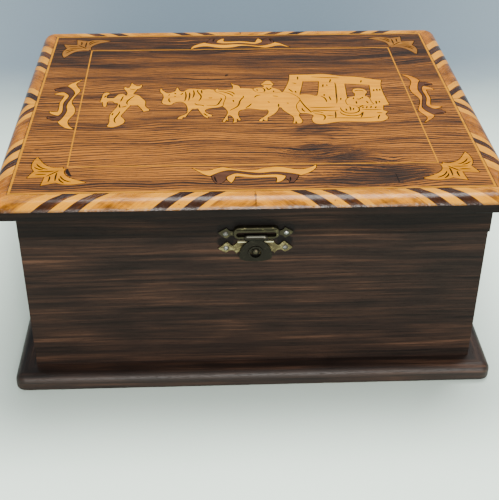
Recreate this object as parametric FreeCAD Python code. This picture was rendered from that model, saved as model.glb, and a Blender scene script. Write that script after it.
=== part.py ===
import FreeCAD, Part
import math
import os
from FreeCAD import Vector

# Marquetry box with a hinged lid and a front hasp, in millimetres.
# Origin: middle of the underside.  +X runs along the longer side, -Y is the front, +Z is up.

os.makedirs("parts", exist_ok=True)

# ---------------------------------------------------------------- driving dimensions
SIDES = ("front", "right", "back", "left")

BASE_HALF = (136.6, 118.7)
BASE_HEIGHT = 10.0
BASE_CORNER_R = 6.0
BASE_NOSE_R = 5.0
BASE_FOOT_R = 1.8
BASE_BAR_WIDTH = 26.0
BOTTOM_THICK = 5.0
BOTTOM_REBATE = 4.0

CASE_HALF = (125.0, 107.06)
WALL_THICK = 8.0
CASE_TOP = 95.4

LID_RECT = (-125.0, 125.8, -107.5, 107.5)      # outside of the lid rails: x low, x high, y low, y high
RAIL_BOTTOM = 95.65
BOARD_BOTTOM = 114.0
BOARD_HALF = (137.1, 118.8)
BOARD_CORNER_R = 8.0
BORDER_BOTTOM = 119.2
LID_TOP = 123.84
NOSE_R = 7.4
VENEER = 1.6

BORDER_INNER = (-127.4, 125.4, -108.1, 107.6)
STRINGING = 1.2
FINE_STRING = 0.75
STRIP_SLANT = 1.25                              # outward drift of a strip for each mm towards the edge
STRIP_SHIFT = {"front": 2.0, "right": 0.0, "back": 0.0, "left": 0.0}
KERF = 0.42                                    # saw gap round every inlay
LINE_WIDTH = 0.9                               # sawn lines inside an inlay
LINE_DEPTH = 0.5

# Strip edges along the inner side of the border, from its middle outwards, with the wood that follows.
LONG_STRIPS = (
    (-22, "honey"), (11.5, "light"), (16, "dark"), (24.3, "light"), (31.8, "dark"), (39.8, "light"),
    (45, "honey"), (71.5, "light"), (75.8, "dark"), (83.6, "light"), (91.2, "dark"), (99.8, "light"),
    (108.5, "honey"), (160, None))
SHORT_STRIPS = (
    (-22, "dark"), (-5, "light"), (3, "dark"), (10, "light"), (17, "honey"), (45, "light"),
    (51, "dark"), (58, "light"), (67.5, "dark"), (76, "light"), (85, "honey"), (150, None))

# Corners of the fine inner string, laid by hand and slightly out of square.
STRING_CORNERS = ((-99.8, -79.8), (100.1, -81.0), (98.9, 82.0), (-101.2, 82.0))

PIVOT = (-109.55, 95.9)                        # y and z of the hasp's hinge bar
BAR_R = 0.75
KNUCKLE_R = 1.81
KNUCKLE_X = (-5.9, 6.3)
RUNNING_FIT = 0.06
NAIL_HEAD_R = 1.45
NAIL_SHANK_R = 0.6
NAIL_LENGTH = 5.0
LOOP_NAILS = ((-16.1, 97.8), (16.2, 97.9))
STRIKE_NAILS = ((-15.8, 88.5), (15.9, 88.4))
STUD_CENTRE = (0.0, 86.6)
STUD_R = 1.9
STUD_RISE = 1.3
HASP_SHEET = 0.9
HOLE_R = 3.0

HINGE_X = 72.0
HINGE_LENGTH = 40.0
HINGE_AXIS = (109.4, 95.525)                   # y and z of the lid hinge
HINGE_KNUCKLE_R = 1.85
HINGE_PIN_R = 0.9
HINGE_LEAF = 0.9
HINGE_LEAF_DROP = 12.0
HINGE_GAP = 0.15


# ---------------------------------------------------------------- helpers
def save(name, *solids):
    """Write one node; a node of several pieces is a compound of separate solids."""
    pieces = []
    for shape in solids:
        pieces.extend(shape.Solids)
    shape = pieces[0] if len(pieces) == 1 else Part.Compound(pieces)
    shape.exportStep(f"parts/{name}.step")


def block(x0, x1, y0, y1, z0, z1):
    return Part.makeBox(x1 - x0, y1 - y0, z1 - z0, Vector(x0, y0, z0))


def cylinder_x(x0, x1, y, z, radius):
    return Part.makeCylinder(radius, x1 - x0, Vector(x0, y, z), Vector(1, 0, 0))


def prism(points, z0, z1):
    corners = [Vector(x, y, z0) for x, y in points]
    return Part.Face(Part.makePolygon(corners + corners[:1])).extrude(Vector(0, 0, z1 - z0))


def rect_of(half):
    return (-half[0], half[0], -half[1], half[1])


def inset(rect, amount):
    x0, x1, y0, y1 = rect
    return (x0 + amount, x1 - amount, y0 + amount, y1 - amount)


def corners_of(rect):
    x0, x1, y0, y1 = rect
    return [(x0, y0), (x1, y0), (x1, y1), (x0, y1)]


def side_plan(index, outer, inner):
    """Mitred plan of one side of a frame, between two rectangles."""
    outside = corners_of(outer)
    inside = corners_of(inner)
    after = (index + 1) % 4
    return [outside[index], outside[after], inside[after], inside[index]]


def rounded_slab(half, z0, z1, corner_r, top_r, bottom_r):
    slab = block(-half[0], half[0], -half[1], half[1], z0, z1)
    upright = [edge for edge in slab.Edges if edge.BoundBox.ZLength > 1]
    slab = slab.makeFillet(corner_r, upright)
    for level, radius in ((z1, top_r), (z0, bottom_r)):
        if radius:
            rim = [edge for edge in slab.Edges
                   if abs(edge.BoundBox.ZMin - level) < 1e-4 and abs(edge.BoundBox.ZMax - level) < 1e-4]
            slab = slab.makeFillet(radius, rim)
    return slab


# ---------------------------------------------------------------- carcase
def base_mouldings():
    outer = rect_of(BASE_HALF)
    inner = inset(outer, BASE_BAR_WIDTH)
    slab = rounded_slab(BASE_HALF, 0, BASE_HEIGHT, BASE_CORNER_R, BASE_NOSE_R, BASE_FOOT_R)
    rebate = bottom_panel()
    for index, side in enumerate(SIDES):
        bar = slab.common(prism(side_plan(index, outer, inner), 0, BASE_HEIGHT))
        save(f"base_moulding_{side}", bar.cut(rebate))


def bottom_panel():
    opening = inset(rect_of(BASE_HALF), BASE_BAR_WIDTH - BOTTOM_REBATE)
    return block(*opening, BASE_HEIGHT - BOTTOM_THICK, BASE_HEIGHT)


def frame_bar(index, rect, thick, z0, z1):
    return prism(side_plan(index, rect, inset(rect, thick)), z0, z1)


# ---------------------------------------------------------------- brass and nails
def nail(x, y, z, outward):
    """Round nail with a domed head, driven along Y; y is the face under its head."""
    shank = Part.makeCylinder(NAIL_SHANK_R, NAIL_LENGTH, Vector(x, y, z), Vector(0, -outward, 0))
    ball_r = 1.7
    sink = math.sqrt(ball_r ** 2 - NAIL_HEAD_R ** 2)
    ball = Part.makeSphere(ball_r, Vector(x, y - outward * sink, z))
    front = Part.makeCylinder(ball_r, 3, Vector(x, y, z), Vector(0, outward, 0))
    return shank.fuse(ball.common(front))


def nail_bores(nails, y, outward):
    bores = []
    for x, z in nails:
        start = Vector(x, y + outward * 3, z)
        length = NAIL_LENGTH + 3
        bores.append(Part.makeCylinder(NAIL_SHANK_R, length, start, Vector(0, -outward, 0)))
    return bores


def returned(start, stretches, flip):
    """Stretches that run back to the start as the flipped copy of the ones that led away from it."""
    ends = [start] + [stretch[-1] for stretch in stretches]
    result = []
    for before, stretch in reversed(list(zip(ends, stretches))):
        run = [before] + stretch[:-1]
        result.append([flip(*point) for point in reversed(run)])
    return result


def upright_plate(start, stretches, y_back, thick):
    """Plate upright on the front: an outline in X and Z with its back at y_back, thickened forwards."""
    flat = Part.Face(outline(start, stretches))
    flat.rotate(Vector(0, 0, 0), Vector(1, 0, 0), 90)
    flat.translate(Vector(0, y_back, 0))
    return flat.extrude(Vector(0, -thick, 0))


def ear_outline(neck_x, neck_low, neck_high, nail_point, tip_low, tip_high):
    """Pointed ear from the neck's lower corner round the nail to its upper corner."""
    x, z = nail_point
    low = [(x - 2.6, z - 1.3), (x - 0.6, z + tip_low)]
    outer = [(x + 2.9, z - 0.6), (x + 3.9, z + 0.6)]
    high = [(x + 1.6, z + 2.0), (x - 0.6, z + tip_high)]
    back = [(x - 2.4, z + 1.6), (neck_x, neck_high)]
    return (neck_x, neck_low), [low, outer, high, back]


def loop_plate():
    """Upper hasp plate: two flat ears and a raised rounded loop whose lower rim is the hinge bar."""
    y_back = LID_RECT[2]
    pivot_y, pivot_z = PIVOT
    rim = 1.5
    ring_front = pivot_y - BAR_R
    ring_x = (-11.9, 12.5)
    ring_top = 102.4
    corner = 3.3
    edge_round = 0.55
    slot_top = 99.5
    slot_round = 1.4
    groove_z = (100.75, 101.15)
    groove_inset = 1.6
    play = 0.25
    bottom = pivot_z - BAR_R
    raised = block(ring_x[0], ring_x[1], ring_front, y_back, bottom, ring_top)
    ends = [edge for edge in raised.Edges if edge.BoundBox.YLength > 1]
    raised = raised.makeFillet(corner, ends)
    front_rim = [edge for edge in raised.Edges
                 if edge.BoundBox.YMax < ring_front + 0.01]
    raised = raised.makeFillet(edge_round, front_rim)
    slot = block(ring_x[0] + rim, ring_x[1] - rim, ring_front - 1, y_back + 1, bottom + 2 * BAR_R, slot_top)
    slot_ends = [edge for edge in slot.Edges if edge.BoundBox.YLength > 1]
    slot = slot.makeFillet(slot_round, slot_ends)
    shape = raised.cut(slot)
    groove = block(ring_x[0] + groove_inset, ring_x[1] - groove_inset,
                   ring_front - 1, ring_front + 0.5, *groove_z)
    shape = shape.cut(groove)
    room = cylinder_x(KNUCKLE_X[0] - play, KNUCKLE_X[1] + play, pivot_y, pivot_z, KNUCKLE_R + 0.2)
    under = block(KNUCKLE_X[0] - play, KNUCKLE_X[1] + play, ring_front - 1, y_back + 1, 90, pivot_z)
    shape = shape.cut(room).cut(under)
    bar = cylinder_x(ring_x[0] + corner, ring_x[1] - corner, pivot_y, pivot_z, BAR_R)
    shape = shape.fuse(bar)
    start, stretches = ear_outline(11.4, 96.4, 99.6, LOOP_NAILS[1], -3.2, 3.4)
    ear = upright_plate(start, stretches, y_back, HASP_SHEET)
    shape = shape.fuse(ear).fuse(ear.mirror(Vector(0.1, 0, 0), Vector(1, 0, 0)))
    for bore in nail_bores(LOOP_NAILS, y_back, -1):
        shape = shape.cut(bore)
    return shape.removeSplitter()


def strike_plate():
    """Lower hasp plate: winged sheet with a bent top lip and a domed stud."""
    y_back = -CASE_HALF[1]
    right = [
        [(9.4, 92.9)],
        [(10.4, 91.2), (12.2, 89.9), (13.6, 90.8), (15.1, 92.4)],
        [(17.4, 90.4), (19.9, 88.4)],
        [(18.2, 86.9), (15.8, 85.6)],
        [(13.8, 87.0), (12.2, 87.0), (10.2, 84.7)],
        [(9.0, 86.0), (7.4, 84.4)],
    ]
    top = 92.9
    lip_depth = 0.75
    top_middle = (0.0, top)
    left = returned(top_middle, right, lambda x, z: (-x, z))
    foot = [[(-7.4, 84.4)]]
    front = y_back - HASP_SHEET
    shape = upright_plate(top_middle, right + foot + left, y_back, HASP_SHEET)
    for x0, x1 in ((-9.6, -4.1), (4.1, 9.6)):
        lip = block(x0, x1, front - lip_depth, y_back, top - lip_depth, top)
        shape = shape.fuse(lip)
    x, z = STUD_CENTRE
    stud_end = front - STUD_RISE
    shape = shape.fuse(Part.makeCylinder(STUD_R, STUD_RISE, Vector(x, front, z), Vector(0, -1, 0)))
    dome_r = 2.3
    sink = math.sqrt(dome_r ** 2 - STUD_R ** 2)
    dome = Part.makeSphere(dome_r, Vector(x, stud_end + sink, z))
    shape = shape.fuse(dome.common(block(x - 3, x + 3, stud_end - 3, stud_end, z - 3, z + 3)))
    for bore in nail_bores(STRIKE_NAILS, y_back, -1):
        shape = shape.cut(bore)
    return shape.removeSplitter()


def tongue():
    """Hasp tongue: knuckle rolled round the bar, short neck, D-shaped end with a raised rim and a hole."""
    pivot_y, pivot_z = PIVOT
    back = pivot_y + HASP_SHEET / 2
    front = back - HASP_SHEET
    neck_half = 3.6
    rim = 1.1
    rim_rise = 0.45
    shoulder = (neck_half, 93.6)
    right = [(5.4, 92.2), (7.2, 90.0), (8.4, 87.2), (8.9, 84.6), (8.2, 82.8), (6.0, 81.6), (0.0, 80.9)]
    left = [(-x, z) for x, z in reversed([shoulder] + right[:-1])]
    neck = [[(-neck_half, pivot_z)], [(neck_half, pivot_z)], [shoulder]]
    sheet = upright_plate(shoulder, [right, left] + neck, back, HASP_SHEET)
    knuckle = cylinder_x(*KNUCKLE_X, pivot_y, pivot_z, KNUCKLE_R)
    collar = Part.makeCylinder(HOLE_R + rim, rim_rise, Vector(STUD_CENTRE[0], front, STUD_CENTRE[1]),
                               Vector(0, -1, 0))
    shape = sheet.fuse(knuckle).fuse(collar)
    hole = Part.makeCylinder(HOLE_R, 6, Vector(STUD_CENTRE[0], back + 2, STUD_CENTRE[1]), Vector(0, -1, 0))
    bore = cylinder_x(KNUCKLE_X[0] - 1, KNUCKLE_X[1] + 1, pivot_y, pivot_z, BAR_R + RUNNING_FIT)
    return shape.cut(hole).cut(bore).removeSplitter()


def hinge_nails(up):
    """Nail places (x, z) of the leaves above (up = 1) or below (up = -1) the hinge axis."""
    z = HINGE_AXIS[1] + up * 8.2
    return [(centre + offset, z) for centre in (-HINGE_X, HINGE_X) for offset in (-14, 0, 14)]


def hinge_leaf(centre, up):
    """One butt hinge leaf with its knuckles; the lower leaf has knuckles 1, 3 and 5, the upper 2 and 4."""
    y_axis, z_axis = HINGE_AXIS
    face = LID_RECT[3] if up > 0 else CASE_HALF[1]
    start = centre - HINGE_LENGTH / 2
    step = HINGE_LENGTH / 5
    near = z_axis + up * (HINGE_KNUCKLE_R + 0.25)
    far = z_axis + up * HINGE_LEAF_DROP
    shape = block(start, start + HINGE_LENGTH, face, face + HINGE_LEAF, min(near, far), max(near, far))
    for count in range(5):
        if (count % 2 == 0) == (up > 0):
            continue
        x0 = start + count * step + (HINGE_GAP if count else 0)
        x1 = start + (count + 1) * step - (HINGE_GAP if count < 4 else 0)
        low, high = sorted((z_axis, near))
        knuckle = cylinder_x(x0, x1, y_axis, z_axis, HINGE_KNUCKLE_R)
        web = block(x0, x1, face, face + HINGE_LEAF, low, high)
        shape = shape.fuse(knuckle).fuse(web)
    pin_room = cylinder_x(start - 1, start + HINGE_LENGTH + 1, y_axis, z_axis, HINGE_PIN_R + RUNNING_FIT)
    shape = shape.cut(pin_room)
    for bore in nail_bores(hinge_nails(up), face, 1):
        shape = shape.cut(bore)
    return shape.removeSplitter()


def hinge_pin(centre):
    start = centre - HINGE_LENGTH / 2
    y_axis, z_axis = HINGE_AXIS
    pin = cylinder_x(start - 0.8, start + HINGE_LENGTH + 0.8, y_axis, z_axis, HINGE_PIN_R)
    for x0 in (start - 0.8, start + HINGE_LENGTH + 0.1):
        pin = pin.fuse(cylinder_x(x0, x0 + 0.7, y_axis, z_axis, HINGE_PIN_R + 0.5))
    return pin


# ---------------------------------------------------------------- marquetry outlines
def smooth_edge(points):
    """Straight edge for two points, else a smooth curve through all of them."""
    if len(points) == 2:
        return Part.makeLine(*points)
    steps = [0.0]
    for before, after in zip(points, points[1:]):
        steps.append(steps[-1] + math.sqrt(before.distanceToPoint(after)))
    curve = Part.BSplineCurve()
    curve.interpolate(Points=points, Parameters=steps)
    return curve.toShape()


def outline(start, stretches, place=None):
    """Closed wire; each stretch goes on from the last point, straight (one point) or smooth (more)."""
    place = place or (lambda x, y: (x, y))
    edges = []
    first = Vector(*place(*start), 0)
    here = first
    for stretch in stretches:
        points = [here] + [Vector(*place(*point), 0) for point in stretch]
        edges.append(smooth_edge(points))
        here = points[-1]
    if here.distanceToPoint(first) > 1e-6:
        edges.append(Part.makeLine(here, first))
    return Part.Wire(edges)


def flat_face(start, stretches, place=None):
    return Part.Face(outline(start, stretches, place))


def grown(face, amount):
    """The face with its outer outline moved outwards, or inwards if the amount is negative."""
    wire = face.OuterWire.makeOffset2D(amount, 0, False, False, False)
    return Part.Face(Part.Wire(Part.__sortEdges__(wire.toNurbs().Edges)))


def line_ribbon(points, place=None):
    """Sawn line as a narrow face that tapers to both ends."""
    place = place or (lambda x, y: (x, y))
    edge = smooth_edge([Vector(*place(*point), 0) for point in points])
    count = max(5, int(edge.Length / 1.5))
    sides = ([], [])
    for step in range(count + 1):
        share = step / count
        at = edge.FirstParameter + share * (edge.LastParameter - edge.FirstParameter)
        along = edge.tangentAt(at)
        across = Vector(-along.y, along.x, 0)
        half = LINE_WIDTH / 2 * (0.35 + 0.65 * math.sin(math.pi * share) ** 0.5)
        middle = edge.valueAt(at)
        sides[0].append(middle + across * half)
        sides[1].append(middle - across * half)
    left = smooth_edge(sides[0])
    right = smooth_edge(sides[1])
    ends = [Part.makeLine(sides[0][0], sides[1][0]), Part.makeLine(sides[0][-1], sides[1][-1])]
    return Part.Face(Part.Wire(Part.__sortEdges__([left, right] + ends)))


def inlay(face, lines=(), place=None):
    """Veneer piece flush with the lid's top, with its sawn lines cut in."""
    piece = face.copy()
    piece.translate(Vector(0, 0, LID_TOP - VENEER))
    piece = piece.extrude(Vector(0, 0, VENEER))
    for points in lines:
        ribbon = line_ribbon(points, place)
        ribbon.translate(Vector(0, 0, LID_TOP - LINE_DEPTH))
        piece = piece.cut(ribbon.extrude(Vector(0, 0, LINE_DEPTH + 1)))
    return piece


def pocket(face):
    """Tool that cuts the ground veneer right through, a kerf wider than the inlay."""
    wide = grown(face, KERF)
    wide.translate(Vector(0, 0, LID_TOP - VENEER - 1))
    return wide.extrude(Vector(0, 0, VENEER + 2))


WALKER = ((-71.5, 28.4), [
    [(-72.0, 24.5), (-72.7, 21.2)], [(-73.7, 20.6)], [(-75.4, 23.0)], [(-75.7, 20.2), (-74.6, 17.4)],
    [(-73.9, 15.4), (-73.2, 12.6)], [(-73.6, 9.9)], [(-74.4, 10.0)],
    [(-76.2, 12.2), (-78.6, 11.6), (-80.0, 8.6), (-81.4, 6.3)], [(-85.2, 6.4)],
    [(-85.8, 9.6), (-84.3, 12.6)],
    [(-85.2, 14.5), (-87.2, 14.2), (-88.2, 11.0), (-88.5, 6.6), (-89.2, 1.6)], [(-87.3, 1.0)],
    [(-87.2, -2.0), (-86.4, -5.4)], [(-85.5, -5.8), (-84.9, -3.4), (-85.0, 0.8)],
    [(-83.0, 2.1), (-81.4, 1.5), (-80.3, -0.6)], [(-78.4, -0.9)],
    [(-78.3, -5.0), (-79.8, -10.2), (-81.5, -15.6), (-81.8, -21.0), (-81.5, -26.0), (-82.5, -31.2)],
    [(-81.2, -32.7), (-78.7, -33.0)],
    [(-76.0, -31.2), (-73.6, -28.6), (-72.7, -25.2), (-73.8, -21.8), (-75.3, -19.2)],
    [(-75.0, -16.6), (-73.8, -13.4), (-72.6, -9.8), (-71.2, -6.4)], [(-70.6, -3.9)], [(-66.2, -3.9)],
    [(-64.6, -7.2), (-63.4, -9.9), (-62.3, -13.0)], [(-59.2, -11.8)],
    [(-59.3, -9.8), (-61.2, -6.6), (-61.8, -2.6), (-62.0, 1.6), (-64.0, 5.4), (-65.6, 9.0),
     (-69.4, 11.5)], [(-69.7, 13.2)], [(-68.4, 16.2), (-67.8, 19.0)],
    [(-66.2, 20.4), (-65.0, 23.2), (-65.5, 25.8)], [(-66.8, 23.8), (-69.0, 24.8)],
    [(-70.2, 26.4), (-71.5, 28.4)]])
WALKER_LINES = (
    ((-75.6, 8.9), (-76.2, 5.2), (-76.8, 1.3)),
    ((-68.7, 9.3), (-70.8, 6.0), (-72.5, 2.4), (-72.9, -0.9), (-72.0, -3.0)),
    ((-77.2, -2.4), (-77.0, -5.0), (-76.5, -7.4)), ((-72.8, -4.6), (-74.2, -5.8), (-75.8, -6.3)),
    ((-76.4, -12.2), (-76.9, -15.6), (-78.3, -20.2), (-78.8, -23.8), (-77.7, -27.6)),
    ((-80.1, -14.4), (-80.7, -17.4)), ((-72.4, 20.0), (-70.2, 19.0), (-68.6, 19.4)),
    ((-86.3, 10.4), (-86.9, 7.2)))

LEAD_OX = ((-52.7, 19.9), [
    [(-53.4, 17.4), (-52.9, 14.0), (-51.5, 11.4)],
    [(-51.1, 8.4), (-51.0, 5.2), (-51.7, 1.4), (-51.0, -2.4)],
    [(-49.2, -3.6), (-46.8, -4.2), (-45.4, -2.8)],
    [(-43.4, -0.6), (-40.6, 0.1), (-38.4, -1.6), (-36.9, -5.0), (-36.2, -9.4), (-36.3, -13.6)],
    [(-37.2, -17.0), (-39.6, -19.4), (-41.8, -22.2)], [(-41.9, -23.5)], [(-39.3, -23.5)],
    [(-38.9, -21.2)], [(-37.3, -20.9)], [(-36.6, -18.6), (-35.2, -14.6), (-33.2, -9.9)],
    [(-31.6, -10.2), (-30.0, -9.5)], [(-29.0, -13.4), (-27.2, -18.4), (-25.8, -21.2), (-24.4, -22.9)],
    [(-24.0, -20.7)], [(-22.2, -20.7)],
    [(-21.9, -19.2), (-23.8, -17.2), (-25.7, -14.2), (-25.4, -11.4), (-22.4, -9.4), (-18.6, -8.5),
     (-14.9, -5.6)],
    [(-14.9, -3.6), (-14.1, 0.8), (-13.3, 5.4), (-14.0, 8.2), (-16.8, 11.4), (-19.0, 13.2),
     (-19.7, 15.9)],
    [(-21.6, 17.2), (-24.0, 17.7), (-26.4, 16.9), (-28.6, 17.8), (-33.4, 18.4), (-36.0, 18.0),
     (-37.8, 16.2)], [(-38.9, 14.5)], [(-41.0, 15.5), (-42.1, 18.6), (-42.9, 21.0)],
    [(-43.5, 17.8), (-44.2, 15.2), (-45.3, 14.0)],
    [(-46.9, 13.0), (-48.6, 12.6), (-50.4, 14.4), (-51.8, 16.8), (-52.7, 19.9)]])
LEAD_OX_LINES = (
    ((-37.9, 14.6), (-37.4, 10.6), (-37.4, 6.3), (-38.1, 0.8)),
    ((-35.2, 13.4), (-35.1, 8.2), (-35.8, 1.5)),
    ((-29.9, 17.2), (-29.9, 13.0), (-28.4, 9.1), (-28.2, 5.3), (-29.6, 0.8)),
    ((-27.9, 16.6), (-27.6, 11.4)), ((-31.8, -2.3), (-30.3, -4.6), (-28.0, -5.1), (-26.5, -6.8)),
    ((-24.9, -5.6), (-18.2, -4.7), (-16.9, -0.9), (-15.8, 2.6), (-16.6, 5.0)),
    ((-23.6, 5.4), (-22.4, 4.9), (-21.4, 5.6)), ((-47.3, 10.8), (-48.1, 9.2)),
    ((-44.6, 8.0), (-43.4, 7.6)), ((-47.4, 5.2), (-47.6, 2.2), (-46.6, -0.6)),
    ((-40.6, 10.0), (-39.2, 12.6)), ((-44.4, 13.0), (-43.6, 11.0)),
    ((-26.6, -16.4), (-25.4, -18.6), (-24.2, -20.2)), ((-33.0, 16.6), (-32.4, 11.0), (-33.4, 5.0)))

REAR_OX = ((-20.5, 14.0), [
    [(-19.4, 16.0)], [(-18.2, 18.6)], [(-17.3, 16.5)], [(-13.0, 16.2), (-8.6, 17.3)], [(-8.2, 21.6)],
    [(-9.4, 26.6)], [(-7.6, 24.0)], [(-6.0, 23.3), (-4.6, 22.0), (-3.8, 18.7)],
    [(0.0, 18.4), (3.4, 17.6), (6.0, 16.0)], [(14.0, 14.0)], [(20.4, 13.6)], [(22.0, 11.9)],
    [(25.0, 11.6), (29.2, 7.4), (31.9, 1.2)],
    [(31.0, -1.8), (29.4, -5.6), (28.8, -10.0), (29.3, -14.2), (30.4, -18.0)],
    [(29.6, -21.0), (30.2, -24.6), (30.9, -27.4), (30.2, -30.6)], [(29.2, -31.6)], [(27.7, -31.4)],
    [(27.2, -27.2)], [(26.5, -31.2)], [(25.3, -31.0)],
    [(26.2, -26.6), (26.0, -22.4), (23.4, -17.8), (19.8, -9.6)], [(18.3, -9.6)],
    [(17.4, -13.6), (14.6, -19.0), (11.0, -22.6)], [(10.5, -27.4)], [(8.9, -26.8)], [(8.2, -25.2)],
    [(7.4, -28.0)], [(5.8, -27.9)],
    [(6.3, -25.6), (8.6, -22.6), (11.2, -18.6), (11.9, -14.6), (11.2, -12.4)],
    [(7.6, -12.6), (3.4, -11.2), (-1.2, -10.6)],
    [(-3.4, -12.2), (-5.4, -13.6), (-6.3, -18.0), (-6.0, -21.6), (-5.0, -25.8)], [(-6.0, -26.6)],
    [(-7.2, -24.0)], [(-7.5, -28.4)], [(-9.6, -29.6)], [(-9.0, -25.2), (-9.6, -22.0), (-11.2, -19.2)],
    [(-12.2, -19.8), (-12.6, -23.4), (-12.5, -27.0)], [(-13.4, -25.2)], [(-14.5, -28.8)],
    [(-15.6, -27.6)], [(-14.4, -23.6), (-13.0, -19.4), (-12.4, -14.4), (-14.2, -8.8), (-16.5, -5.6)]])
REAR_OX_LINES = (
    ((-17.4, 14.2), (-13.4, 12.8), (-10.2, 9.8), (-8.4, 6.6)), ((-12.6, 14.6), (-9.0, 12.6), (-7.6, 9.4)),
    ((-2.6, 7.6), (-2.4, 5.2), (-4.2, 1.2), (-5.4, -4.8), (-6.8, -8.2), (-9.4, -11.2), (-11.0, -13.2)),
    ((2.2, -3.8), (0.6, -7.0), (-1.6, -9.9)), ((18.7, -4.6), (18.4, -6.8), (18.4, -9.0)),
    ((4.6, 4.6), (5.8, 7.2), (8.4, 8.0)), ((-8.8, 1.6), (-8.4, -1.2)), ((12.2, -1.4), (13.4, -2.6)),
    ((15.6, 6.8), (19.2, 6.0)), ((23.6, -3.6), (24.8, -4.2)))

DRIVER = ((14.0, 29.4), [
    [(12.0, 28.4), (10.7, 25.8), (9.3, 24.5)], [(9.9, 23.1)], [(10.9, 22.4)],
    [(10.9, 20.4), (9.8, 18.9)], [(7.6, 19.4), (5.3, 18.4), (4.4, 16.2), (6.0, 13.4), (8.6, 12.2)],
    [(12.4, 11.2), (17.0, 11.3), (21.5, 12.4)], [(20.3, 15.4), (18.0, 17.6), (16.0, 19.2)],
    [(15.9, 21.8)], [(16.8, 22.8)], [(17.4, 24.4)], [(16.4, 26.0), (15.8, 28.4), (14.0, 29.4)]])
DRIVER_LINES = (
    ((10.2, 24.0), (13.4, 23.4), (16.6, 24.0)), ((10.2, 18.4), (11.3, 15.4), (10.5, 12.6)),
    ((15.7, 18.6), (13.8, 15.4)), ((12.6, 19.4), (13.6, 15.2)), ((16.9, 14.6), (16.5, 12.2)),
    ((6.4, 16.6), (6.8, 14.6)))

CARRIAGE = ((28.3, 38.0), [
    [(33.6, 38.2), (42.0, 38.4), (50.0, 38.9), (55.4, 37.4), (62.6, 35.0), (70.0, 34.0), (75.2, 32.2),
     (80.2, 30.2), (86.1, 28.0)],
    [(84.6, 22.0), (84.0, 14.0), (84.3, 5.0), (84.8, -2.8), (85.2, -7.4)], [(81.6, -8.6)],
    [(80.4, -15.4)], [(82.8, -17.4)], [(81.4, -19.6)],
    [(81.0, -22.0), (81.8, -25.0), (80.0, -28.2), (76.0, -30.0)],
    [(65.0, -30.2), (55.0, -29.7), (48.0, -31.0), (42.4, -32.6), (38.6, -31.8), (36.9, -28.0),
     (38.2, -22.0)], [(36.4, -19.2), (30.2, -17.9)], [(26.0, -10.0)], [(27.0, 5.0)], [(22.0, 10.0)],
    [(22.4, 12.6)], [(23.4, 15.0), (25.6, 22.0), (27.5, 30.0), (28.3, 38.0)]])
CARRIAGE_LINES = (
    ((31.9, 0.4), (33.0, -4.0), (34.4, -9.2), (36.2, -14.0), (37.2, -17.6)),
    ((32.2, -10.8), (32.4, -13.4), (33.6, -16.2)),
    ((37.2, -16.8), (39.0, -14.9), (41.4, -14.2), (46.0, -14.8), (53.6, -15.0)),
    ((54.6, -16.6), (56.0, -20.4), (59.6, -22.2), (64.6, -21.8), (67.4, -17.6)),
    ((55.4, -11.0), (55.8, -15.2), (58.0, -18.2), (62.0, -18.8), (65.2, -17.0), (66.4, -13.0), (65.0, -9.6)),
    ((61.0, -9.6), (61.2, -12.4), (60.9, -15.6)), ((58.5, -12.4), (58.5, -15.6)),
    ((63.2, -11.8), (62.6, -14.6)), ((66.4, -11.6), (68.2, -9.4), (70.2, -8.2)),
    ((69.2, -10.0), (68.6, -12.2)), ((71.6, -9.6), (70.8, -12.4)), ((74.2, -9.2), (73.4, -12.2)),
    ((77.0, -10.0), (76.2, -12.6)), ((67.2, -13.6), (73.0, -14.4), (79.8, -14.5)),
    ((68.2, -17.4), (67.2, -20.8), (65.9, -24.6)), ((51.6, -16.0), (51.4, -20.5), (50.7, -25.4)),
    ((38.4, -18.6), (41.6, -19.6), (44.2, -21.2), (44.7, -24.2), (43.2, -27.8)),
    ((45.8, -25.2), (55.0, -25.0), (65.0, -25.4), (74.6, -24.2)), ((46.0, -21.4), (50.4, -22.4)),
    ((77.6, -21.4), (76.4, -24.2), (75.8, -27.2)), ((76.0, -18.6), (79.6, -18.9)),
    ((38.0, -17.2), (41.0, -16.4), (44.4, -18.0)), ((33.5, 35.4), (33.0, 30.6)),
    ((54.0, 30.6), (52.8, 25.6)), ((73.3, 28.6), (72.5, 24.8)),
    ((56.1, 25.4), (55.8, 17.0), (55.1, 9.0), (54.5, 0.4), (53.7, -5.2)), ((48.4, 23.0), (47.8, 18.8)),
    ((50.4, 22.4), (50.9, 20.6)), ((45.0, 5.4), (47.0, 3.2), (47.9, -3.0)), ((47.6, 8.4), (47.3, 5.8)),
    ((50.2, 5.0), (50.8, -0.6)), ((79.2, 14.6), (78.8, 11.8)), ((81.2, 15.4), (80.9, 12.0)),
    ((83.0, 15.0), (82.7, 12.2)), ((78.0, -2.2), (77.8, -6.6)), ((80.0, -2.4), (79.8, -4.8)),
    ((42.0, 34.6), (50.0, 33.6), (60.0, 32.6)), ((29.2, 25.6), (31.8, 24.6)),
    ((26.0, 17.0), (27.6, 14.0), (28.4, 11.6)), ((30.2, 13.6), (30.4, 10.8)),
    ((36.0, -9.8), (44.0, -10.6), (52.4, -10.0)), ((57.2, 2.8), (56.8, -0.4)))

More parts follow.
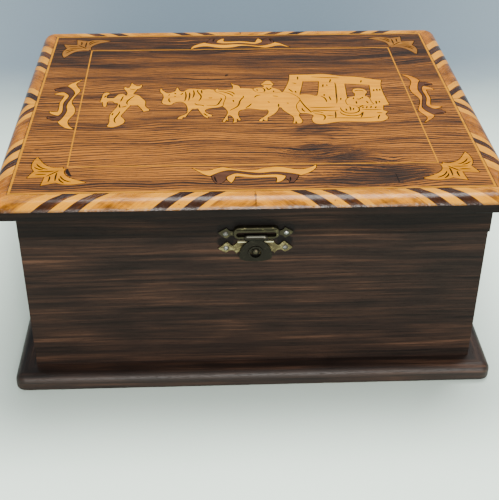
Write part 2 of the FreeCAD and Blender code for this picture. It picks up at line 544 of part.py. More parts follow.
PASSENGER = ((66.5, 15.0), [
    [(68.2, 16.0), (71.0, 15.9), (73.4, 14.0), (74.4, 11.2), (73.2, 8.4)], [(72.2, 4.8)],
    [(74.2, 2.8), (74.8, -1.6), (75.9, -6.8)], [(68.0, -8.2), (60.2, -7.0)],
    [(59.8, -2.4), (60.6, 0.8), (62.6, 3.2), (66.0, 4.8)], [(66.6, 8.8)], [(65.6, 11.6), (66.5, 15.0)]])
PASSENGER_LINES = (
    ((66.8, 12.2), (69.6, 13.4), (72.6, 12.0)), ((65.1, 3.0), (64.6, 0.6)),
    ((66.6, 1.2), (68.2, 0.6), (69.8, 2.4)), ((65.9, -2.4), (65.8, -6.0)), ((70.6, 3.6), (70.2, 1.4)),
    ((72.2, -2.4), (72.9, -5.6)))

LEFT_WINDOW = ((36.0, 28.0), [
    [(46.2, 27.6)], [(44.6, 14.0), (43.2, 6.6)], [(41.6, 6.4), (38.8, 8.0), (35.4, 8.6), (32.3, 7.8)],
    [(33.4, 14.0), (35.0, 22.0), (36.0, 28.0)]])
RIGHT_WINDOW = ((62.0, 23.6), [
    [(77.4, 21.2)], [(76.8, 13.0), (75.8, 3.0)], [(74.6, 0.5)], [(60.9, 1.4)], [(61.2, 8.0), (62.0, 23.6)]])

# Edge scroll: u runs along the side, v outwards from the fine string.
SCROLL_BAND = ((-32.5, 2.7), [
    [(-29.0, 5.0), (-25.5, 6.2), (-19.5, 3.5), (-16.0, 2.4), (-10.0, 4.4), (-4.0, 6.1), (1.0, 6.0),
     (6.0, 3.8), (13.5, 2.7), (18.0, 4.0), (23.0, 5.7), (27.5, 5.4), (31.6, 3.4), (34.0, 0.9)],
    [(33.8, 3.7), (32.4, 6.4), (30.0, 9.0), (25.0, 12.2)],
    [(22.0, 10.4), (15.0, 8.4), (10.0, 8.0), (5.0, 8.9), (0.0, 8.4), (-8.0, 6.3), (-12.5, 5.5),
     (-17.5, 7.2), (-23.0, 11.6)], [(-26.0, 10.0), (-29.0, 6.8), (-32.5, 2.7)]])
SCROLL_BRACKET = ((-12.0, 19.2), [
    [(-14.0, 15.7), (-14.1, 13.2), (-12.0, 11.0), (-9.5, 9.5), (-6.0, 10.0), (-2.0, 11.2), (2.0, 11.7),
     (11.0, 11.1), (14.5, 11.7), (16.8, 13.0)], [(16.0, 15.4), (14.0, 18.2), (11.5, 19.2)],
    [(12.1, 16.2), (11.8, 13.8)], [(5.0, 13.8), (0.0, 14.0), (-4.0, 13.2), (-8.0, 12.3), (-9.9, 12.4)],
    [(-10.4, 15.2), (-12.0, 19.2)]])
SCROLL_SHADE = ((-16.5, 6.0), [
    [(10.0, 6.8)], [(24.0, 10.6)], [(22.8, 15.2), (20.6, 19.4)], [(18.6, 19.8)],
    [(17.4, 16.0), (14.0, 14.6)], [(13.0, 12.4)], [(0.0, 12.6)], [(-8.0, 11.2)], [(-12.6, 13.0)],
    [(-14.8, 15.6), (-16.8, 18.8), (-19.6, 20.0)], [(-21.8, 15.0), (-22.0, 9.6)]])
SCROLL_SHADE_LINES = (((-20.6, 12.4), (-20.4, 15.6), (-19.4, 18.6)), ((19.2, 14.0), (19.0, 18.4)))
SCROLL_SCALE = {"front": (1.0, 1.0), "back": (1.0, 0.98), "left": (1.04, 0.9), "right": (1.04, 0.88)}

# Half of a corner fan, from its inner point round two leaves to the notch on the diagonal.
FAN_HALF = [
    [(-1.0, 0.9)], [(-4.6, 0.2), (-8.3, 1.6), (-11.3, 4.5), (-14.2, 9.4), (-16.0, 12.6)],
    [(-17.7, 6.6), (-17.6, 1.6), (-15.7, -3.2)], [(-17.2, -6.6), (-18.5, -10.4)],
    [(-13.5, -9.8), (-9.4, -9.4)]]
FAN_POINT = (-0.7, -0.7)
FAN_LINES = (
    ((-15.4, 5.0), (-12.6, 0.8), (-8.8, -1.2)), ((-14.0, -3.4), (-9.0, -3.6), (-5.0, -3.4)),
    ((-14.8, -7.0), (-11.6, -6.6), (-8.8, -6.8)), ((-16.4, 1.6), (-13.4, -1.0), (-11.2, -1.6)))
FAN_SIGNS = ((1, 1), (-1, 1), (-1, -1), (1, -1))


# Small dark plugs: a crescent at the front left fan, a chip over the rear ox and one at the front edge.
PLUGS = (
    ((-99.6, -81.2), [[(-98.4, -84.6), (-96.4, -90.0)], [(-97.3, -90.3)],
                      [(-99.0, -88.0), (-100.2, -85.2), (-99.8, -82.4)]]),
    ((-11.4, 40.6), [[(-10.6, 38.8)], [(-12.4, 36.6)], [(-13.0, 38.8)]]),
    ((74.6, -92.6), [[(75.4, -92.8)], [(75.8, -101.4)], [(75.0, -101.6)]]))
SMALLEST_PIECE = 5.0                           # offcuts of ground veneer under this volume are dropped


def side_axes(index, rect):
    """Middle of one edge of a rectangle, with its directions along (anticlockwise) and outwards."""
    corners = corners_of(rect)
    start = corners[index]
    end = corners[(index + 1) % 4]
    middle = ((start[0] + end[0]) / 2, (start[1] + end[1]) / 2)
    along = ((1, 0), (0, 1), (-1, 0), (0, -1))[index]
    outward = (along[1], -along[0])
    return middle, along, outward


def fans():
    """Corner fans as (face, place) pairs; each place maps the front left fan to its own corner."""
    result = []
    back = returned(FAN_POINT, FAN_HALF, lambda x, y: (y, x))
    for corner, signs in zip(STRING_CORNERS, FAN_SIGNS):
        def place(x, y, corner=corner, signs=signs):
            return (corner[0] + signs[0] * (x - 1.4), corner[1] + signs[1] * (y - 1.0))
        result.append((flat_face(FAN_POINT, FAN_HALF + back, place), place))
    return result


def scrolls():
    """Edge scrolls as (side, band, bracket, shade, place)."""
    xs = [x for x, y in STRING_CORNERS]
    ys = [y for x, y in STRING_CORNERS]
    string_rect = (sum(sorted(xs)[:2]) / 2, sum(sorted(xs)[2:]) / 2, sum(sorted(ys)[:2]) / 2, max(ys))
    result = []
    for index, side in enumerate(SIDES):
        middle, along, outward = side_axes(index, string_rect)
        stretch, depth = SCROLL_SCALE[side]

        def place(u, v, middle=middle, along=along, outward=outward, stretch=stretch, depth=depth):
            return (middle[0] + along[0] * u * stretch + outward[0] * v * depth,
                    middle[1] + along[1] * u * stretch + outward[1] * v * depth)
        band = flat_face(*SCROLL_BAND, place)
        bracket = flat_face(*SCROLL_BRACKET, place)
        result.append((side, band, bracket, flat_face(*SCROLL_SHADE, place), place))
    return result


def string_ring(corners, width):
    """Narrow band along a closed run of straight lines."""
    points = [Vector(x, y, 0) for x, y in corners]
    wire = Part.makePolygon(points + points[:1])
    outer = Part.Face(wire.makeOffset2D(width / 2, 2, False, False, False))
    inner = Part.Face(wire.makeOffset2D(-width / 2, 2, False, False, False))
    return outer.cut(inner)


def veneer_slab(face, extra=0.0):
    slab = face.copy()
    slab.translate(Vector(0, 0, LID_TOP - VENEER - extra))
    return slab.extrude(Vector(0, 0, VENEER + 2 * extra))


# ---------------------------------------------------------------- lid surface
def strip_course(flat):
    """Plan run (u, v) of a strip: straight over the flat and, measured along the surface, over the nose."""
    steps = 8
    course = [(0, 0), (STRIP_SLANT * flat, flat)]
    for step in range(1, steps + 1):
        angle = math.pi / 2 * step / steps
        course.append((STRIP_SLANT * (flat + NOSE_R * angle), flat + NOSE_R * math.sin(angle)))
    return course


def border_strips():
    """Striped border; its nose is the upper part of a larger round that meets the board's edge."""
    outer = rect_of(BOARD_HALF)
    rise = NOSE_R - (LID_TOP - BORDER_BOTTOM)
    spread = NOSE_R - math.sqrt(NOSE_R ** 2 - rise ** 2)
    half = (BOARD_HALF[0] + spread, BOARD_HALF[1] + spread)
    slab = rounded_slab(half, BORDER_BOTTOM - NOSE_R, LID_TOP, BOARD_CORNER_R + spread, NOSE_R, 0)
    for index, side in enumerate(SIDES):
        bar = slab.common(prism(side_plan(index, outer, BORDER_INNER), BORDER_BOTTOM, LID_TOP + 1))
        middle, along, outward = side_axes(index, BORDER_INNER)
        edge = abs(outward[0] * half[0]) + abs(outward[1] * half[1])
        flat = edge - NOSE_R - middle[0] * outward[0] - middle[1] * outward[1]
        course = strip_course(flat)
        reach = course[-1][1]
        middle = (middle[0] + along[0] * STRIP_SHIFT[side], middle[1] + along[1] * STRIP_SHIFT[side])
        strips = LONG_STRIPS if side in ("front", "back") else SHORT_STRIPS
        woods = {"honey": [], "light": [], "dark": []}
        for hand in (-1, 1):
            def at(u, v):
                return (middle[0] + hand * along[0] * u + outward[0] * v,
                        middle[1] + hand * along[1] * u + outward[1] * v)
            plan = [at(0, -1), at(200, -1), at(200, reach), at(0, reach)]
            half_bar = bar.common(prism(plan, BORDER_BOTTOM - 1, LID_TOP + 1))
            for (start, wood), (end, _) in zip(strips, strips[1:]):
                plan = [at(start + u, v) for u, v in course] + [at(end + u, v) for u, v in reversed(course)]
                strip = half_bar.common(prism(plan, BORDER_BOTTOM - 1, LID_TOP + 1))
                woods[wood].extend(strip.Solids)
        for wood, solids in woods.items():
            save(f"border_{side}_{wood}", *solids)


def lid_surface():
    """Ground veneer, stringing and every inlay, all flush with the top."""
    field_rect = inset(BORDER_INNER, STRINGING)
    ground = block(*field_rect, LID_TOP - VENEER, LID_TOP)
    core_height = LID_TOP - VENEER
    save("lid_core_panel", block(*BORDER_INNER, BORDER_BOTTOM, core_height))
    ring = block(*BORDER_INNER, core_height, LID_TOP).cut(ground)
    save("stringing_outer", ring)

    fine = string_ring(STRING_CORNERS, FINE_STRING)
    save("stringing_inner", veneer_slab(fine))
    ground = ground.cut(veneer_slab(fine, 1.0))

    for number, (face, place) in enumerate(fans(), 1):
        lines = list(FAN_LINES) + [tuple((y, x) for x, y in line) for line in FAN_LINES]
        lines.append(((-8.6, -8.8), (-5.2, -5.4), (-2.8, -3.0)))
        save(f"inlay_fan_{number}", inlay(face, lines, place))
        ground = ground.cut(pocket(face))

    for side, band, bracket, shade, place in scrolls():
        save(f"inlay_scroll_{side}", inlay(band), inlay(bracket))
        between = shade.cut(grown(band, KERF)).cut(grown(bracket, KERF))
        save(f"inlay_scroll_shade_{side}", inlay(between, SCROLL_SHADE_LINES, place))
        for face in (band, bracket, shade):
            ground = ground.cut(pocket(face))

    walker = flat_face(*WALKER)
    lead = flat_face(*LEAD_OX)
    driver = flat_face(*DRIVER)
    passenger = flat_face(*PASSENGER)
    rear_whole = flat_face(*REAR_OX)
    carriage_whole = flat_face(*CARRIAGE)
    rear = rear_whole.cut(grown(lead, KERF)).cut(grown(driver, KERF))
    carriage = carriage_whole
    for neighbour in (rear_whole, driver, passenger):
        carriage = carriage.cut(grown(neighbour, KERF))
    windows = [flat_face(*LEFT_WINDOW), flat_face(*RIGHT_WINDOW)]
    for window in windows:
        carriage = carriage.cut(window)
    figures = (
        ("walker", walker, WALKER_LINES), ("lead_ox", lead, LEAD_OX_LINES),
        ("rear_ox", rear, REAR_OX_LINES), ("driver", driver, DRIVER_LINES),
        ("carriage", carriage, CARRIAGE_LINES), ("passenger", passenger, PASSENGER_LINES))
    for name, face, lines in figures:
        whole = max(face.Faces, key=lambda part: part.Area)
        save(f"inlay_{name}", inlay(whole, lines))
    for face in (walker, lead, driver, rear_whole, carriage_whole, passenger):
        ground = ground.cut(pocket(face))

    panes = []
    for window in windows:
        pane = grown(window, -KERF).cut(grown(passenger, KERF))
        panes.extend(veneer_slab(part) for part in pane.Faces)

    plugs = [flat_face(*plug) for plug in PLUGS]
    save("inlay_plugs", *[veneer_slab(face) for face in plugs])
    for face in plugs:
        ground = ground.cut(veneer_slab(face, 1.0))
    save("field_veneer", *[piece for piece in ground.Solids if piece.Volume > SMALLEST_PIECE], *panes)


# ---------------------------------------------------------------- assembly
def main():
    base_mouldings()
    save("bottom_panel", bottom_panel())

    strike_y = -CASE_HALF[1]
    case_rect = rect_of(CASE_HALF)
    wall_bores = nail_bores(STRIKE_NAILS, strike_y, -1) + nail_bores(hinge_nails(-1), CASE_HALF[1], 1)
    rail_bores = nail_bores(LOOP_NAILS, LID_RECT[2], -1) + nail_bores(hinge_nails(1), LID_RECT[3], 1)
    for index, side in enumerate(SIDES):
        wall = frame_bar(index, case_rect, WALL_THICK, BASE_HEIGHT, CASE_TOP)
        rail = frame_bar(index, LID_RECT, WALL_THICK, RAIL_BOTTOM, BOARD_BOTTOM)
        if side in ("front", "back"):
            for bore in wall_bores:
                wall = wall.cut(bore)
            for bore in rail_bores:
                rail = rail.cut(bore)
        save(f"wall_{side}", wall)
        save(f"lid_rail_{side}", rail)

    save("lid_board", rounded_slab(BOARD_HALF, BOARD_BOTTOM, BORDER_BOTTOM, BOARD_CORNER_R, 0, 1.0))
    border_strips()
    lid_surface()

    save("latch_loop_plate", loop_plate())
    save("latch_loop_nails", *[nail(x, LID_RECT[2] - HASP_SHEET, z, -1) for x, z in LOOP_NAILS])
    save("latch_strike_plate", strike_plate())
    save("latch_strike_nails", *[nail(x, strike_y - HASP_SHEET, z, -1) for x, z in STRIKE_NAILS])
    save("latch_tongue", tongue())

    centres = (-HINGE_X, HINGE_X)
    save("hinge_case_leaves", *[hinge_leaf(centre, -1) for centre in centres])
    save("hinge_lid_leaves", *[hinge_leaf(centre, 1) for centre in centres])
    save("hinge_pins", *[hinge_pin(centre) for centre in centres])
    save("hinge_case_nails", *[nail(x, CASE_HALF[1] + HINGE_LEAF, z, 1) for x, z in hinge_nails(-1)])
    save("hinge_lid_nails", *[nail(x, LID_RECT[3] + HINGE_LEAF, z, 1) for x, z in hinge_nails(1)])


main()
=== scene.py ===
import math
import bpy
from mathutils import Matrix, Vector


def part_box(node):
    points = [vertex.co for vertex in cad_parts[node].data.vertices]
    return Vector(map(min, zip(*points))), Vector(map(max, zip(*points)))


# Inlaid wooden box: materials for the CAD nodes, floor, lights and camera. No further pieces are made.
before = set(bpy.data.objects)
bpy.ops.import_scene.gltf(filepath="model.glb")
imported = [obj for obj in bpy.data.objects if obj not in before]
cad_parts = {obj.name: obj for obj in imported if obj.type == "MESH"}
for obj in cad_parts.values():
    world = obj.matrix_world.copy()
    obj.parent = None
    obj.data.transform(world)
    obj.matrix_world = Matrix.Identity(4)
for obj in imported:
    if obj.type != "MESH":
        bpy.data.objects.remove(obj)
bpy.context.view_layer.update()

MM = 0.001
SIDES = ("front", "right", "back", "left")
LID_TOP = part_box("field_veneer")[1].z
FIELD_LOW, FIELD_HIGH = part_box("stringing_outer")
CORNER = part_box("lid_board")[1]


# ---------------------------------------------------------------- node helper
class Graph:
    """A material whose nodes are written as expressions."""

    def __init__(self, name):
        self.material = bpy.data.materials.new(name)
        self.material.use_nodes = True
        self.tree = self.material.node_tree
        self.shader = self.tree.nodes["Principled BSDF"]
        self.place = self.node("ShaderNodeTexCoord").outputs["Object"]
        split = self.node("ShaderNodeSeparateXYZ")
        self.join(self.place, split.inputs[0])
        self.x, self.y, self.z = split.outputs

    def node(self, kind, **settings):
        made = self.tree.nodes.new(kind)
        for key, value in settings.items():
            setattr(made, key, value)
        return made

    def join(self, value, socket):
        if isinstance(value, bpy.types.NodeSocket):
            self.tree.links.new(value, socket)
        else:
            socket.default_value = value

    def math(self, operation, *values):
        made = self.node("ShaderNodeMath", operation=operation)
        for value, socket in zip(values, made.inputs):
            self.join(value, socket)
        return made.outputs[0]

    def add(self, a, b):
        return self.math("ADD", a, b)

    def sub(self, a, b):
        return self.math("SUBTRACT", a, b)

    def mul(self, a, b):
        return self.math("MULTIPLY", a, b)

    def higher(self, a, b):
        return self.math("MAXIMUM", a, b)

    def power(self, a, b):
        return self.math("POWER", a, b)

    def size(self, a):
        return self.math("ABSOLUTE", a)

    def total(self, *values):
        result = values[0]
        for value in values[1:]:
            result = self.add(result, value)
        return result

    def weigh(self, base, *parts):
        """The base plus each value times its weight."""
        return self.total(base, *[self.mul(value, weight) for value, weight in parts])

    def swing(self, value, span):
        """A value of 0 to 1 as a swing round zero."""
        return self.mul(self.sub(value, 0.5), span)

    def step(self, value, start, end):
        """Smooth 0 to 1 as the value goes from start to end; the end may be the lower of the two."""
        made = self.node("ShaderNodeMapRange", interpolation_type="SMOOTHSTEP")
        self.join(value, made.inputs["Value"])
        self.join(start, made.inputs["From Min"])
        self.join(end, made.inputs["From Max"])
        return made.outputs["Result"]

    def vector(self, x, y, z):
        made = self.node("ShaderNodeCombineXYZ")
        for value, socket in zip((x, y, z), made.inputs):
            self.join(value, socket)
        return made.outputs[0]

    def noise(self, vector, detail=3.0, roughness=0.55, scale=1.0):
        made = self.node("ShaderNodeTexNoise", noise_dimensions="3D")
        self.join(vector, made.inputs["Vector"])
        made.inputs["Scale"].default_value = scale
        made.inputs["Detail"].default_value = detail
        made.inputs["Roughness"].default_value = roughness
        return made.outputs["Fac"]

    def grain(self, along, across, third, **settings):
        """Noise stretched along the grain; along and across are each a length in mm and a rate per mm."""
        stretched = [self.mul(length, rate) for length, rate in (along, across)]
        return self.noise(self.vector(*stretched, third), **settings)

    def spots(self, vector, scale, low, high):
        """1 in small round spots, 0 elsewhere."""
        made = self.node("ShaderNodeTexVoronoi", feature="F1")
        self.join(vector, made.inputs["Vector"])
        made.inputs["Scale"].default_value = scale
        return self.sub(1.0, self.step(made.outputs["Distance"], low, high))

    def ramp(self, factor, *stops):
        made = self.node("ShaderNodeValToRGB")
        band = made.color_ramp
        while len(band.elements) < len(stops):
            band.elements.new(0.5)
        for element, (place, colour) in zip(band.elements, stops):
            element.position = place
            element.color = (*colour, 1.0)
        self.join(factor, made.inputs[0])
        return made.outputs["Color"]

    def mix(self, factor, a, b, blend="MIX"):
        made = self.node("ShaderNodeMix", data_type="RGBA", blend_type=blend)
        self.join(factor, made.inputs[0])
        for value, socket in ((a, made.inputs[6]), (b, made.inputs[7])):
            if isinstance(value, tuple):
                value = (*value, 1.0)
            self.join(value, socket)
        return made.outputs[2]

    def bump(self, height, strength, distance):
        """Normal of a height field; the distance of its full height is in mm."""
        made = self.node("ShaderNodeBump")
        made.inputs["Strength"].default_value = strength
        made.inputs["Distance"].default_value = distance * MM
        self.join(height, made.inputs["Height"])
        return made.outputs["Normal"]

    def finish(self, colour, roughness, normal, metallic=0.0, specular=0.5):
        self.join(colour, self.shader.inputs["Base Color"])
        self.join(roughness, self.shader.inputs["Roughness"])
        self.join(normal, self.shader.inputs["Normal"])
        self.shader.inputs["Metallic"].default_value = metallic
        self.shader.inputs["Specular IOR Level"].default_value = specular
        return self.material


def rgb(red, green, blue):
    """Linear colour from 0 to 255 screen values."""
    def linear(value):
        share = value / 255
        return share / 12.92 if share <= 0.04045 else ((share + 0.055) / 1.055) ** 2.4
    return (linear(red), linear(green), linear(blue))


def in_mm(g):
    """The place on the object as x, y and z in mm."""
    return [g.mul(value, 1 / MM) for value in (g.x, g.y, g.z)]


def off_centre(g, value, centre, half):
    """Distance from the centre of a spot, as a share of its half size."""
    return g.mul(g.sub(value, centre), 1 / half)


def under_lid(g, start, full):
    """0 to 1 as the depth under the lid top goes from start to full, in mm."""
    return g.sub(1.0, g.step(g.z, LID_TOP - full * MM, LID_TOP - start * MM))


# ---------------------------------------------------------------- woods
def fibres(g, along, across, third):
    """Fine fibres and dark pores of long grain, from lengths in mm."""
    fine = g.grain((along, 0.06), (across, 2.4), g.mul(third, 0.6), detail=2, roughness=0.6)
    pore = g.grain((along, 0.22), (across, 3.8), g.mul(third, 0.9), detail=1)
    return fine, g.step(pore, 0.58, 0.68)


# Dark halo round the hasp in mm: centre x and z, half width and half height; the last two spots are
# painted shadow, in the seam between the plates and under the tongue.
HALO_AND_SHADOW_SPOTS = ((-0.5, 103.2, 12.5, 3.2), (-15.8, 99.8, 4.8, 3.4), (16.0, 99.8, 4.6, 3.4),
              (-16.0, 92.2, 4.6, 2.8), (15.6, 92.4, 4.2, 2.8), (0.0, 94.6, 17.0, 1.8),
              (0.0, 81.8, 8.0, 1.8))
HALO_SQUARENESS = 3.0


def latch_halo_and_shadow(g, x, z):
    """1 in the dark halo on the wood round the hasp plates, with painted shadow in the seam between the
    plates and under the tongue, 0 elsewhere.
    """
    result = 0.0
    edge = g.swing(g.noise(g.place, detail=2, scale=900), 0.35)
    for centre_x, centre_z, half_x, half_z in HALO_AND_SHADOW_SPOTS:
        dx = g.size(off_centre(g, x, centre_x, half_x))
        dz = g.size(off_centre(g, z, centre_z, half_z))
        corner = g.add(g.power(dx, HALO_SQUARENESS), g.power(dz, HALO_SQUARENESS))
        reach = g.power(corner, 1 / HALO_SQUARENESS)
        result = g.higher(result, g.sub(1.0, g.step(g.add(reach, edge), 0.8, 1.2)))
    return result


def stained_wood(name, turned, light, halo_and_shadow, shine):
    """Almost black stained softwood with faint reddish brown streaks; turned, its grain runs along Y."""
    g = Graph(name)
    x, y, z = in_mm(g)
    along, depth = (y, x) if turned else (x, y)
    across = g.add(z, g.mul(depth, 0.6))
    drift = g.grain((along, 0.008), (across, 0.03), 3.0, detail=1)
    across = g.add(across, g.mul(drift, 3.5))
    broad = g.grain((along, 0.011), (across, 0.13), 2.0, detail=2)
    streak = g.grain((along, 0.014), (across, 0.55), 5.0, roughness=0.62)
    patch = g.grain((along, 0.016), (across, 0.035), 9.0, detail=2)
    fine, pore = fibres(g, along, across, depth)
    tone = g.weigh(-0.45, (streak, 0.80), (broad, 0.50), (patch, 0.40), (fine, 0.20))
    colour = g.ramp(tone, (0.28, rgb(16, 12, 10)), (0.46, rgb(32, 23, 19)), (0.60, rgb(46, 32, 25)),
                    (0.80, rgb(80, 56, 42)))
    colour = g.mix(g.mul(pore, 0.35), colour, rgb(14, 10, 9))
    colour = g.mix(1.0, colour, (light, light, light), "MULTIPLY")
    # dark halo round the hasp plates, with painted shadow in the seam between the plates and under the
    # tongue
    if halo_and_shadow:
        colour = g.mix(g.mul(latch_halo_and_shadow(g, x, z), 0.93), colour, rgb(10, 7, 6))
    rough = g.weigh(0.54 - 0.7 * shine, (fine, 0.16), (patch, 0.14), (pore, 0.12))
    height = g.weigh(0.0, (fine, 0.5), (pore, -0.6), (streak, 0.5))
    return g.finish(colour, rough, g.bump(height, 0.5, 0.12), specular=shine)


# Dark smoky clouds of the flame figure in mm: centre x and y, half length and half width, depth of tone.
SMOKE = ((42, -36, 12, 6, 0.10), (36, -50, 10, 14, 0.07), (40, -68, 20, 8, 0.09),
         (60, -74, 22, 7, 0.08), (58, -95, 26, 8, 0.11), (80, -88, 12, 12, 0.07))
RING_SPACING = 2.35
FRONT_ZONE = (-70.0, 10.0)         # y over which the stronger lines of the front fade, in mm
BACK_ZONE = (15.0, 85.0)           # y over which the ground darkens towards the back, in mm


def smoke_clouds(g, x, y):
    """Depth of the smoky figure, with torn edges."""
    result = 0.0
    slanted = g.sub(y, g.mul(x, 0.5))
    torn = g.grain((g.add(x, y), 0.05), (slanted, 0.20), 2.0, detail=4, roughness=0.65)
    torn = g.swing(torn, 4.5)
    for centre_x, centre_y, half_x, half_y, depth in SMOKE:
        dx = off_centre(g, x, centre_x, half_x)
        dy = off_centre(g, y, centre_y, half_y)
        reach = g.total(g.mul(dx, dx), g.mul(dy, dy), torn)
        result = g.add(result, g.mul(g.sub(1.0, g.step(reach, 0.0, 2.6)), depth))
    return result


def field_wood():
    """Brown ground veneer: fine wavy dark lines along X, and a smoky flame figure at the front right."""
    g = Graph("brown_ground_veneer")
    x, y, z = in_mm(g)
    smoke = smoke_clouds(g, x, y)
    drift = g.grain((x, 0.011), (y, 0.022), 1.0, detail=1.5)
    ripple = g.grain((x, 0.06), (y, 0.12), 7.0, detail=2)
    swirl = g.grain((x, 0.035), (y, 0.05), 3.0, detail=1)
    lines_y = g.total(y, g.swing(drift, 20.0), g.swing(ripple, 1.8), g.mul(smoke, g.swing(swirl, 90.0)))
    wander = g.grain((x, 0.006), (lines_y, 0.16), 4.0, detail=2)
    phase = g.add(g.mul(lines_y, 2 * math.pi / RING_SPACING), g.mul(wander, 9.0))
    ring = g.step(g.math("SINE", phase), 0.30, 0.90)
    fade = g.step(g.grain((x, 0.018), (lines_y, 0.33), 5.0, detail=2), 0.22, 0.52)
    streak = g.grain((x, 0.016), (lines_y, 0.95), 6.0, detail=4, roughness=0.8)
    broad = g.grain((x, 0.010), (lines_y, 0.075), 8.0, detail=2)
    fine, pore = fibres(g, x, lines_y, z)
    front = g.sub(1.0, g.step(y, *FRONT_ZONE))
    back = g.step(y, *BACK_ZONE)
    lines = g.mul(g.mul(ring, fade), g.weigh(0.34, (front, 0.18)))
    tone = g.weigh(-0.41, (streak, 1.05), (broad, 0.72), (fine, 0.34), (front, 0.04), (back, -0.17),
                   (lines, -1.0), (smoke, -1.15))
    colour = g.ramp(tone, (0.26, rgb(18, 10, 6)), (0.42, rgb(46, 27, 13)), (0.56, rgb(88, 52, 20)),
                    (0.74, rgb(148, 90, 26)))
    colour = g.mix(g.mul(pore, 0.7), colour, rgb(24, 13, 7))
    colour = g.mix(under_lid(g, 0.2, 0.5), colour, rgb(10, 6, 5))
    rough = g.weigh(0.36, (fine, 0.12), (pore, 0.2))
    height = g.weigh(0.0, (fine, 0.6), (pore, -0.8), (streak, 0.3))
    return g.finish(colour, rough, g.bump(height, 0.45, 0.1), specular=0.12)


def inlay_wood(name, low, middle, high, groove):
    """Figured inlay; its sawn lines and edges below the surface are filled with the groove colour."""
    g = Graph(name)
    x, y, z = in_mm(g)
    broad = g.grain((x, 0.04), (y, 0.22), 1.0, roughness=0.6)
    fine, pore = fibres(g, x, y, z)
    tone = g.weigh(0.0, (broad, 0.7), (fine, 0.3))
    colour = g.ramp(tone, (0.30, low), (0.52, middle), (0.72, high))
    colour = g.mix(g.mul(pore, 0.18), colour, low)
    colour = g.mix(under_lid(g, 0.03, 0.15), colour, groove)
    rough = g.weigh(0.34, (fine, 0.14))
    height = g.weigh(0.0, (fine, 0.6), (pore, -0.4))
    return g.finish(colour, rough, g.bump(height, 0.35, 0.08), specular=0.06)


# Lid border, in mm: how far a strip runs lengthwise for each mm outwards along the surface, radius of
# the nose, how far its full round would reach past the board's edge, place of the middle joint along
# the side, and distance of its plug from the inner edge.
STRIP_SLANT = 1.25
NOSE_R = 7.4
NOSE_SPREAD = 0.5
JOINT_PLACE = -0.5
PLUG_REACH = 4.6
# Distance of the inner edge of each border side from the middle of the lid, in m.
BORDER_EDGE = {"front": -FIELD_LOW.y, "back": FIELD_HIGH.y,
               "left": -FIELD_LOW.x, "right": FIELD_HIGH.x}


def strip_glue(g, lengthwise, reach):
    """Dark glue at the inner edge, and at the middle joint with its small plug."""
    inner_edge = g.sub(1.0, g.step(reach, 0.3, 0.75))
    off_joint = g.size(g.sub(lengthwise, JOINT_PLACE))
    broken = g.step(g.noise(g.place, detail=1, scale=300), 0.36, 0.5)
    joint = g.mul(g.step(off_joint, 0.42, 0.12), broken)
    off_plug = g.size(g.sub(reach, PLUG_REACH))
    plug = g.mul(g.step(off_joint, 0.8, 0.5), g.step(off_plug, 1.4, 1.0))
    return g.higher(inner_edge, g.higher(joint, plug))


def strip_wood(name, side, low, middle, high, pore_colour, mottle):
    """Solid strip wood of one border side: grain along the slanted strips, glue, chips and dents."""
    g = Graph(f"{name}_{side}")
    x, y, z = in_mm(g)
    runs_in_x = side in ("front", "back")
    lengthwise, sideways = (x, y) if runs_in_x else (y, x)
    outer = CORNER.y if runs_in_x else CORNER.x
    edge = BORDER_EDGE[side]
    flat = (outer - edge) / MM + NOSE_SPREAD - NOSE_R
    reach = g.sub(g.size(sideways), edge / MM)
    turn = g.math("ARCSINE", g.mul(g.higher(g.sub(reach, flat), 0.0), 1 / NOSE_R))
    run = g.add(g.math("MINIMUM", reach, flat), g.mul(turn, NOSE_R))
    hand = g.math("SIGN", lengthwise)
    across = g.sub(g.size(lengthwise), g.mul(run, STRIP_SLANT))
    along = g.total(run, g.mul(g.size(lengthwise), 0.3), g.mul(hand, 40.0))
    seed = g.weigh(SIDES.index(side) * 7.0, (hand, 3.0))
    fine, pore = fibres(g, along, across, z)
    streak = g.grain((along, 0.05), (across, 0.55), seed, roughness=0.65)
    piece = g.noise(g.vector(g.mul(across, 0.075), 0.0, g.add(seed, 20.0)), detail=0)
    curl = g.grain((along, 0.14), (across, 0.07), g.add(seed, 11.0), roughness=0.6)
    worn = g.step(reach, 5.0, 10.0)
    tone = g.weigh(-0.04 - mottle / 2, (streak, 0.46), (fine, 0.20), (piece, 0.42), (curl, mottle),
                   (worn, -0.12 * mottle))
    colour = g.ramp(tone, (0.30, low), (0.5, middle), (0.68, high))
    colour = g.mix(g.mul(pore, 0.3), colour, pore_colour)
    on_nose = under_lid(g, 0.4, 2.2)
    chip_zone = g.step(g.noise(g.place, detail=1, scale=28), 0.50, 0.60)
    chipped = g.mul(g.mul(g.spots(g.place, 260, 0.10, 0.17), on_nose), chip_zone)
    glue = g.mul(strip_glue(g, lengthwise, reach), 0.85)
    # painted shade on the lower part of the nose
    foot_shade = g.mul(under_lid(g, 3.0, 4.5), 0.8)
    dark = g.higher(glue, g.higher(chipped, foot_shade))
    colour = g.mix(g.mul(dark, 0.9), colour, rgb(26, 15, 9))
    dents = g.mul(g.noise(g.place, roughness=0.6, scale=600), on_nose)
    rough = g.weigh(0.16, (fine, 0.12), (pore, 0.12), (chipped, 0.3))
    height = g.weigh(0.0, (fine, 0.5), (pore, -0.5), (dents, 3.2), (chipped, -2.5))
    return g.finish(colour, rough, g.bump(height, 0.45, 0.12), specular=0.2)


def plain_wood():
    """Raw inside panel wood."""
    g = Graph("plain_panel_wood")
    x, y, z = in_mm(g)
    broad = g.grain((x, 0.012), (y, 0.12), z)
    fine, pore = fibres(g, x, y, z)
    tone = g.weigh(0.0, (broad, 0.7), (fine, 0.3))
    colour = g.ramp(tone, (0.30, rgb(96, 62, 36)), (0.55, rgb(134, 94, 58)), (0.75, rgb(160, 118, 76)))
    colour = g.mix(g.mul(pore, 0.3), colour, rgb(70, 44, 26))
    return g.finish(colour, g.weigh(0.6, (fine, 0.15)), g.bump(fine, 0.4, 0.1), specular=0.3)
